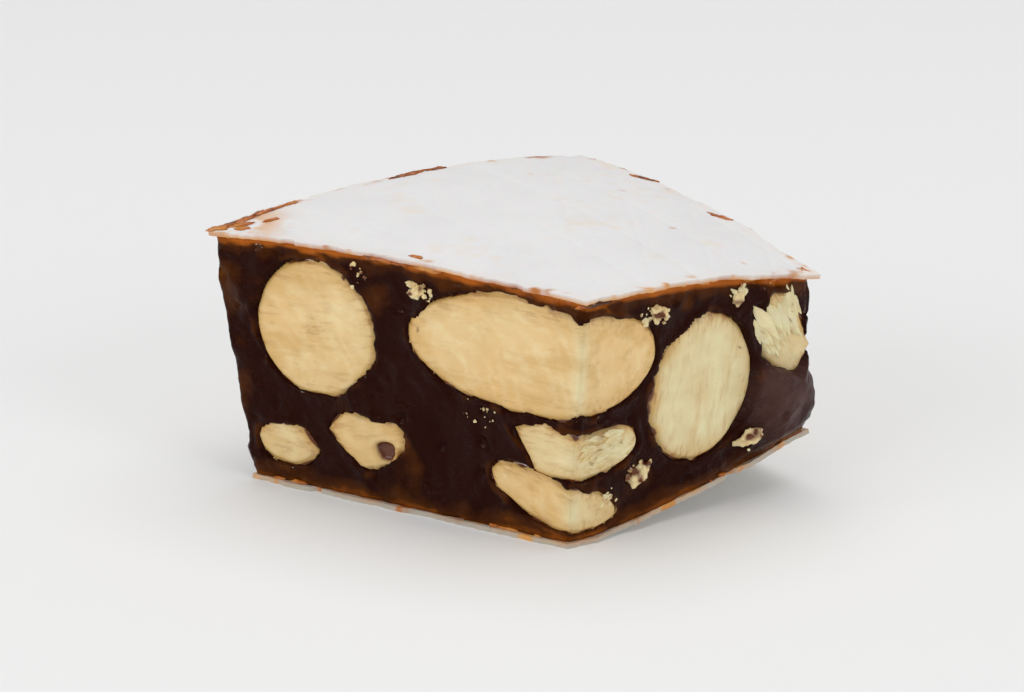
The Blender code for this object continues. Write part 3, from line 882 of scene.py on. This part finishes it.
def hollow_depth(place):
    """Share of the depth of the dark hollow at a place, 1 at its middle."""
    name, along, up = HOLLOW_PLACE
    away = (place - side_point(SIDES[name], along * MM, up * MM)).length
    away += 0.3 * MM * noise.noise(place / MM)
    return 1.0 - smooth_step(0.55 * HOLLOW_RADIUS, HOLLOW_RADIUS, away)


def on_side(place, name):
    """Whether a place lies in the cut of a side."""
    side = SIDES[name]
    return abs((place - side_point(side, 0.0, 0.0)).dot(side_normal(side))) < ON_PLANE


def cut_face_offset(almond, place, gap, seed, broken):
    """Knife marks and grain on a cut face, rounded at its outline; nothing elsewhere."""
    offset = Vector((0.0, 0.0, 0.0))
    roughness = 2.6 if broken else 1.0
    for side in SIDES.values():
        if not on_side(place, side.name):
            continue
        centre = almond_frame(almond).translation
        away = place - centre + side.along * 6.0 * MM
        swirl = math.sin(away.length / (0.55 * MM) + 2.0 * noise.noise(place / (3.0 * MM) + seed))
        grain_height = noise.noise(place / (0.9 * MM) + seed)
        hollow = noise.noise(place / (4.0 * MM) + seed)
        height = 0.03 * swirl + roughness * (0.05 * grain_height + 0.12 * hollow)
        height += 0.18 - 0.45 * smooth_step(-0.7 * MM, 0.0, gap) - 0.9 * hollow_depth(place)
        offset += side_normal(side) * (height * MM)
    return offset


def chip_mesh(bm, place, stretch, seed, fineness=2, pointed=False):
    """One angular crumb, or a pointed splinter, added to a bmesh and roughened."""
    made = bmesh.ops.create_icosphere(bm, subdivisions=fineness, radius=1.0)["verts"]
    for vert in made:
        swell = 0.42 * noise.noise(vert.co * 1.7 + seed) + 0.2 * noise.cell(vert.co * 2.0 + seed)
        if pointed:
            swell *= 0.5
            vert.co.z *= 1.0 - 0.75 * abs(vert.co.x)
        vert.co *= 1.0 + swell
    bmesh.ops.scale(bm, verts=made, vec=stretch)
    bmesh.ops.transform(bm, matrix=place, verts=made)
    return made


def side_axes(side):
    return Matrix((side.along, -side.outward, Vector((0, 0, 1)))).transposed().to_4x4()


def colour_crumb(bm, verts, tan, coating):
    """Give one crumb its tan and how much caramel coats it."""
    tan_layer = bm.verts.layers.float["tan"]
    stain_layer = bm.verts.layers.float["stain"]
    kernel_layer = bm.verts.layers.float_vector["kernel"]
    for vert in verts:
        vert[kernel_layer] = vert.co
        patchy = noise.noise(vert.co / (0.9 * MM))
        vert[tan_layer] = min(1.0, max(0.0, tan + 0.3 * patchy))
        vert[stain_layer] = min(1.0, max(0.0, coating + 0.9 * patchy))


def add_cluster(bm, cluster, number):
    """Crumbs or layered flakes heaped round one place on a side."""
    side = SIDES[cluster.side]
    for index in range(cluster.count):
        turn = math.tau * noise.random()
        reach = cluster.spread * MM * noise.random() ** 0.7
        along = cluster.along * MM + 1.25 * reach * math.cos(turn)
        up = cluster.up * MM + 0.8 * reach * math.sin(turn)
        size = cluster.grain * MM * (0.35 + 0.9 * noise.random() ** 2)
        lie = math.tau * noise.random()
        tilt = 0.9 * (noise.random() - 0.5)
        if cluster.lie is not None:
            lie = math.radians(cluster.lie + 34.0 * (noise.random() - 0.5))
            tilt *= 0.35
        point = side_point(side, along, up)
        on_almond = nearest_almond(point) < -0.2 * MM
        raised = 0.14 * MM
        if not on_almond:
            raised = side_relief(side.name, along, up) + sticky_detail(point) + 0.12 * MM
        place = Matrix.Translation(point + side.outward * raised) @ side_axes(side)
        place = place @ Matrix.Rotation(-lie, 4, "Y") @ Matrix.Rotation(tilt, 4, "Z")
        flake = cluster.lie is not None
        thickness, width = (0.08, 0.22) if flake else (0.3, 0.55)
        stretch = Vector((0.62, thickness, width * (0.6 + 0.5 * noise.random()))) * size
        made = chip_mesh(bm, place, stretch, Vector((index * 1.3, number, 0.0)), 2, flake)
        colour_crumb(bm, made, cluster.tan, -0.15 + 0.7 * cluster.tan)


def make_chips(material):
    """The fused chips in almond colours, with clusters of crumbs and flakes between them."""
    bm = bmesh.new()
    bm.verts.layers.float.new("tan")
    bm.verts.layers.float.new("stain")
    bm.verts.layers.float_vector.new("kernel")
    for index, chip in enumerate(CHIPS):
        side = SIDES[chip.side]
        point = side_point(side, chip.along * MM, chip.up * MM)
        raised = side_relief(chip.side, chip.along * MM, chip.up * MM)
        place = Matrix.Translation(point + side.outward * raised) @ side_axes(side)
        place = place @ Matrix.Rotation(math.radians(-chip.turn), 4, "Y")
        seed = Vector((index * 1.9, 0.0, 0.0))
        made = chip_mesh(bm, place, CHIP_SHAPE * chip.size * MM, seed, 3)
        coating = 0.5 if chip.side in COATED_CHIP_SIDES and index % 2 else 0.3
        colour_crumb(bm, made, 0.5, coating)
    noise.seed_set(CRUMB_SEED)
    for number, cluster in enumerate(CLUSTERS):
        add_cluster(bm, cluster, number)
    return finish_piece("almond_crumbs", bm, material, "almond", "nougat")


def wafer_height(u, v, upper):
    if upper:
        return upper_height(u, v) + wafer_wave(u, v) + GAP
    return WAFER_THICKNESS + lower_lift(u, v)


def pressed_lines(place):
    """Depth of the two crossing sets of lines that the wafer iron leaves."""
    depth = 0.0
    for angle in PRESSED_ANGLES:
        across = place.x * math.cos(angle) + place.y * math.sin(angle)
        offset = abs((across / PRESSED_SPACING + 0.31) % 1.0 - 0.5) * PRESSED_SPACING
        depth += PRESSED_DEPTH * math.exp(-((offset / PRESSED_WIDTH) ** 2))
    return depth


def make_wafer(name, settings, material, upper):
    """A thin sheet with pressed lines, gentle waves and a ragged, chipped edge."""
    cells = settings.wafer_cells
    bm = bmesh.new()
    bmesh.ops.create_grid(bm, x_segments=cells, y_segments=int(cells * 0.85), size=0.5)
    edge_height = LEAN_HEIGHT if upper else 0.0
    stain_layer = bm.verts.layers.float.new("stain")
    warmth_layer = bm.verts.layers.float.new("warmth")
    shift = 0.1 if upper else 0.0
    tip = plan_corners()[0]
    for vert in bm.verts:
        u = vert.co.x + 0.5
        v = vert.co.y + 0.5
        place = plan_at(u, v, edge_height)
        for side, share in zip(SIDES.values(), (v, 1.0 - u, 1.0 - v, u)):
            reach = max(0.0, 1.0 - share / 0.06)
            if reach > 0.0:
                wave = noise.noise(Vector((place.x, place.y + shift, 0.5 * MM)) / (4.0 * MM))
                nick = noise.noise(Vector((place.x, place.y + shift, 3.0 * MM)) / (0.8 * MM))
                tear = smooth_step(0.35, 0.6, noise.noise(place / (2.3 * MM)))
                out = WAFER_OVERHANG + WAFER_RAGGED * wave + 0.16 * MM * nick - 0.5 * MM * tear
                place += side.outward * (out * reach * reach)
        from_edge = min(v, 1.0 - u, 1.0 - v, u)
        place.z = wafer_height(u, v, upper)
        if upper:
            place.z += 0.06 * MM * noise.noise(place / (9.0 * MM)) - pressed_lines(place)
        vert.co = place
        vert[stain_layer] = wafer_stain(place, from_edge, tip)
        warm = noise.noise(place / (6.0 * MM)) + 0.6 * noise.noise(place / (1.5 * MM))
        toasted = 1.0 - smooth_step(0.0, 0.05, from_edge)
        vert[warmth_layer] = 0.5 * smooth_step(0.25, 0.8, warm) + 0.2 * toasted
    shade_smooth(bm)
    bmesh.ops.recalc_face_normals(bm, faces=bm.faces)
    thickness = -WAFER_THICKNESS if upper else WAFER_THICKNESS
    bmesh.ops.solidify(bm, geom=bm.faces[:], thickness=thickness)
    bmesh.ops.recalc_face_normals(bm, faces=bm.faces)
    bm.normal_update()
    for vert in bm.verts:
        if (vert.normal.z < 0.0) == upper:
            creep = (0.95 if upper else 0.35) + 0.6 * noise.noise(vert.co / (2.0 * MM))
            vert[stain_layer] = min(1.0, max(0.0, vert[stain_layer], creep))
    piece = finish_piece(name + "_sheet", bm, material, "wafer", name)
    piece.data.set_sharp_from_angle(angle=math.radians(50))
    return piece


def wafer_stain(place, from_edge, tip):
    """Where caramel has soaked or crept over the wafer."""
    near_tip = 1.0 - smooth_step(2.5 * MM, 10.0 * MM, (Vector((place.x, place.y, 0)) - tip).length)
    broad = noise.noise(place / (3.0 * MM)) + 0.5 * noise.noise(place / (1.0 * MM))
    stain = near_tip * smooth_step(-0.3, 0.2, broad)
    edge = 1.0 - smooth_step(0.0, 0.03, from_edge)
    stain = max(stain, edge * smooth_step(0.2, 0.55, broad))
    spots = noise.noise(place / (1.8 * MM) + Vector((7.0, 3.0, 0.0)))
    return max(stain, 0.5 * smooth_step(0.7, 0.8, spots))


def make_smears(settings, material):
    """Beads of amber caramel along the wafers' edges, and the smears on the upper wafer."""
    bm = bmesh.new()
    noise.seed_set(BEAD_SEED)
    for index in range(settings.bead_count):
        side = SIDES[SIDE_NAMES[index % 4]]
        share = 0.04 + 0.92 * noise.random()
        upper = noise.random() > 0.35
        size = (0.2 + 0.45 * noise.random() ** 2) * MM
        u, v = ((share, 0.0), (1.0, share), (1.0 - share, 1.0), (0.0, 1.0 - share))[index % 4]
        edge = wafer_height(u, v, upper)
        up = edge - 0.3 * size if upper else edge + 0.3 * size
        place = Matrix.Translation(plan_at(u, v, up)) @ side_axes(side)
        stretch = Vector((1.2 + 3.0 * noise.random(), 0.8, 0.6)) * size
        lump = chip_mesh(bm, place, stretch, Vector((index * 0.7, 9.0, 0.0)))
        bmesh.ops.smooth_vert(bm, verts=lump, factor=0.5)
    for index, smear in enumerate(SMEARS):
        add_smear(bm, smear, Vector((index * 2.3, 1.0, 0.0)))
    shade_smooth(bm)
    return finish_piece("caramel_beads", bm, material, "nougat")


def add_smear(bm, smear, seed):
    """A flat, ragged pool of caramel on the upper wafer, following its crown."""
    made = bmesh.ops.create_icosphere(bm, subdivisions=4, radius=1.0)["verts"]
    turn = Matrix.Rotation(math.radians(smear.lie), 3, "Z")
    left, near, _, far = TOP_CORNERS
    middle = blend_corners(TOP_CORNERS, smear.u, smear.v)
    for vert in made:
        flat = Vector((vert.co.x, vert.co.y, 0.0))
        swell = 1.0 + 0.6 * noise.noise(flat * 1.4 + seed) + 0.5 * noise.noise(flat * 4.5 + seed)
        offset = Vector((flat.x * smear.length, flat.y * smear.width, 0.0)) * (0.5 * MM * swell)
        place = middle + turn @ offset
        u = smear.u + (place - middle).dot(near - left) / (near - left).length_squared
        v = smear.v + (place - middle).dot(far - left) / (far - left).length_squared
        u = min(1.0, max(0.0, u))
        v = min(1.0, max(0.0, v))
        place.z = wafer_height(u, v, True) + WAFER_THICKNESS
        vert.co = place + Vector((0, 0, (vert.co.z + 0.3) * SMEAR_THICKNESS * swell))


# Stage


def add_light(light, target):
    """A rectangular light that faces the block."""
    data = bpy.data.lights.new(light.name, "AREA")
    data.shape = "RECTANGLE"
    data.size, data.size_y = light.size
    data.energy = light.power
    data.use_shadow = light.shadow
    made = bpy.data.objects.new(light.name, data)
    made.location = light.place
    made.rotation_euler = (target - made.location).to_track_quat("-Z", "Y").to_euler()
    bpy.context.scene.collection.objects.link(made)


def view_direction(settings):
    """Unit vector from the block to the camera."""
    azimuth = settings.camera_azimuth
    elevation = settings.camera_elevation
    flat = Vector((math.sin(azimuth), -math.cos(azimuth), 0.0))
    return flat * math.cos(elevation) + Vector((0, 0, math.sin(elevation)))


def add_camera(settings):
    low, high = SOLID_BOX
    azimuth = settings.camera_azimuth
    sideways = Vector((math.cos(azimuth), math.sin(azimuth), 0.0)) * settings.target_shift
    target = (Vector(low) + Vector(high)) / 2 + sideways + Vector((0, 0, settings.target_rise))
    data = bpy.data.cameras.new("camera")
    data.lens = settings.camera_lens
    data.clip_start = CLIP_START
    camera = bpy.data.objects.new("camera", data)
    camera.location = target + view_direction(settings) * settings.camera_distance
    camera.rotation_euler = (-view_direction(settings)).to_track_quat("-Z", "Y").to_euler()
    bpy.context.scene.collection.objects.link(camera)
    bpy.context.scene.camera = camera
    return target


def add_floor(settings):
    bm = bmesh.new()
    bmesh.ops.create_grid(bm, x_segments=8, y_segments=8, size=FLOOR_SIZE)
    mesh = bpy.data.meshes.new("floor")
    bm.to_mesh(mesh)
    bm.free()
    mesh.materials.append(floor_material(settings))
    floor = bpy.data.objects.new("floor", mesh)
    bpy.context.scene.collection.objects.link(floor)


def add_world(settings):
    world = bpy.data.worlds.new("studio")
    world.use_nodes = True
    background = world.node_tree.nodes["Background"]
    background.inputs["Color"].default_value = (1.0, 1.0, 1.0, 1.0)
    background.inputs["Strength"].default_value = settings.world_strength
    bpy.context.scene.world = world
    bpy.context.scene.view_settings.view_transform = "Standard"


# Add-on


def colour_property(name, description, default):
    return FloatVectorProperty(
        name=name, description=description, default=default, subtype="COLOR", size=3, min=0.0,
        max=1.0,
    )


class NougatBlockSettings(bpy.types.PropertyGroup):
    """Colours and densities of the block's pieces."""

    nougat_colour: colour_property("Nougat", "Colour of thick caramel", (0.018, 0.0024, 0.0008))
    dusty_colour: colour_property(
        "Matt lump", "Colour of the dull lump at the right corner", (0.115, 0.058, 0.05)
    )
    thin_colour: colour_property(
        "Thin caramel", "Colour of caramel where it is thin", (0.45, 0.118, 0.012)
    )
    almond_colour: colour_property("Almond", "Colour of an ivory cut face", (0.84, 0.755, 0.45))
    almond_tan_colour: colour_property(
        "Tan almond", "Colour of a darker cut face", (0.86, 0.57, 0.24)
    )
    almond_rim_colour: colour_property(
        "Almond rim", "Colour at a cut almond's outline", (0.62, 0.36, 0.09)
    )
    stain_colour: colour_property(
        "Stain", "Colour of caramel smeared over an almond", (0.13, 0.030, 0.006)
    )
    wafer_colour: colour_property("Wafer", "Colour of the wafers", (0.79, 0.78, 0.78))
    # The lower wafer's colour is partly its soaked tone and partly painted shade
    soaked_shaded_colour: colour_property(
        "Soaked wafer", "Colour of the lower wafer, which has taken up moisture",
        (0.47, 0.445, 0.385),
    )
    nougat_cells: IntProperty(
        name="Nougat cells", description="Mesh cells along the long front side", default=128,
        min=24, max=160,
    )
    almond_segments: IntProperty(
        name="Almond segments", description="Mesh segments round an almond", default=72,
        min=16, max=96,
    )
    wafer_cells: IntProperty(
        name="Wafer cells", description="Mesh cells along a wafer", default=170, min=20, max=200,
    )
    bead_count: IntProperty(
        name="Beads", description="Beads of caramel along the edges", default=60, min=0, max=300,
    )


class NougatStageSettings(bpy.types.PropertyGroup):
    """Camera, light and floor."""

    camera_azimuth: FloatProperty(
        name="Azimuth", description="Turn of the camera round the block", subtype="ANGLE",
        default=math.radians(33),
    )
    camera_elevation: FloatProperty(
        name="Elevation", description="Height angle of the camera", subtype="ANGLE",
        default=math.radians(18.0),
    )
    camera_distance: FloatProperty(
        name="Distance", description="Camera to the block's middle", unit="LENGTH", default=0.5,
    )
    camera_lens: FloatProperty(
        name="Lens", description="Focal length in millimetres", default=170.0, min=10.0,
    )
    target_rise: FloatProperty(
        name="Target height", description="Aim above the block's middle", unit="LENGTH",
        default=-0.0015,
    )
    target_shift: FloatProperty(
        name="Target shift", description="Aim to the right of the block's middle",
        unit="LENGTH", default=-0.004,
    )
    world_strength: FloatProperty(
        name="Ambient", description="Strength of the even light", default=0.35, min=0.0,
    )
    floor_colour: colour_property("Floor", "Colour of the floor", (0.86, 0.86, 0.86))


class NOUGATBLOCK_OT_nougat(bpy.types.Operator):
    """Add the caramel mass with its sticky relief"""

    bl_idname = "nougat_block.add_nougat"
    bl_label = "Add Caramel Mass"

    def execute(self, context):
        make_nougat(context.scene.nougat_block)
        return {"FINISHED"}


class NOUGATBLOCK_OT_almonds(bpy.types.Operator):
    """Add the cut almonds, one piece for each, and the crumbs"""

    bl_idname = "nougat_block.add_almonds"
    bl_label = "Add Almonds"

    def execute(self, context):
        settings = context.scene.nougat_block
        material = almond_material(settings)
        for almond in ALMONDS:
            make_almond(almond, material, settings.almond_segments)
        make_chips(material)
        return {"FINISHED"}


class NOUGATBLOCK_OT_wafers(bpy.types.Operator):
    """Add the two wafers and the caramel beads at their edges"""

    bl_idname = "nougat_block.add_wafers"
    bl_label = "Add Wafers"

    def execute(self, context):
        settings = context.scene.nougat_block
        dry = wafer_material("dry_wafer", settings, tuple(settings.wafer_colour), 0.7)
        # The lower wafer is a darker copy of the wafer material: soaked tone and painted shade
        soaked = wafer_material("soaked_shaded_wafer", settings, tuple(settings.soaked_shaded_colour), 0.38)
        make_wafer("wafer_upper", settings, dry, True)
        make_wafer("wafer_lower", settings, soaked, False)
        make_smears(settings, syrup_material(settings))
        return {"FINISHED"}


class NOUGATBLOCK_OT_stage(bpy.types.Operator):
    """Add the camera, lights, world and floor"""

    bl_idname = "nougat_block.add_stage"
    bl_label = "Add Stage"

    def execute(self, context):
        settings = context.scene.nougat_stage
        target = add_camera(settings)
        add_floor(settings)
        add_world(settings)
        for light in LIGHTS:
            add_light(light, target)
        return {"FINISHED"}


class NOUGATBLOCK_PT_panel(bpy.types.Panel):
    """Sidebar panel that lists the pieces"""

    bl_idname = "NOUGATBLOCK_PT_panel"
    bl_label = "Nougat Block"
    bl_space_type = "VIEW_3D"
    bl_region_type = "UI"
    bl_category = "Nougat Block"

    def draw(self, context):
        for operator in OPERATORS:
            self.layout.operator(operator.bl_idname)
        for settings in (context.scene.nougat_block, context.scene.nougat_stage):
            for name in settings.__annotations__:
                self.layout.prop(settings, name)


OPERATORS = (
    NOUGATBLOCK_OT_nougat,
    NOUGATBLOCK_OT_almonds,
    NOUGATBLOCK_OT_wafers,
    NOUGATBLOCK_OT_stage,
)
CLASSES = (NougatBlockSettings, NougatStageSettings, *OPERATORS, NOUGATBLOCK_PT_panel)


def register():
    for cls in CLASSES:
        bpy.utils.register_class(cls)
    bpy.types.Scene.nougat_block = PointerProperty(type=NougatBlockSettings)
    bpy.types.Scene.nougat_stage = PointerProperty(type=NougatStageSettings)


def unregister():
    del bpy.types.Scene.nougat_stage
    del bpy.types.Scene.nougat_block
    for cls in reversed(CLASSES):
        bpy.utils.unregister_class(cls)


def main():
    register()
    bpy.ops.nougat_block.add_stage()
    bpy.ops.nougat_block.add_nougat()
    bpy.ops.nougat_block.add_almonds()
    bpy.ops.nougat_block.add_wafers()


if __name__ == "__main__":
    main()
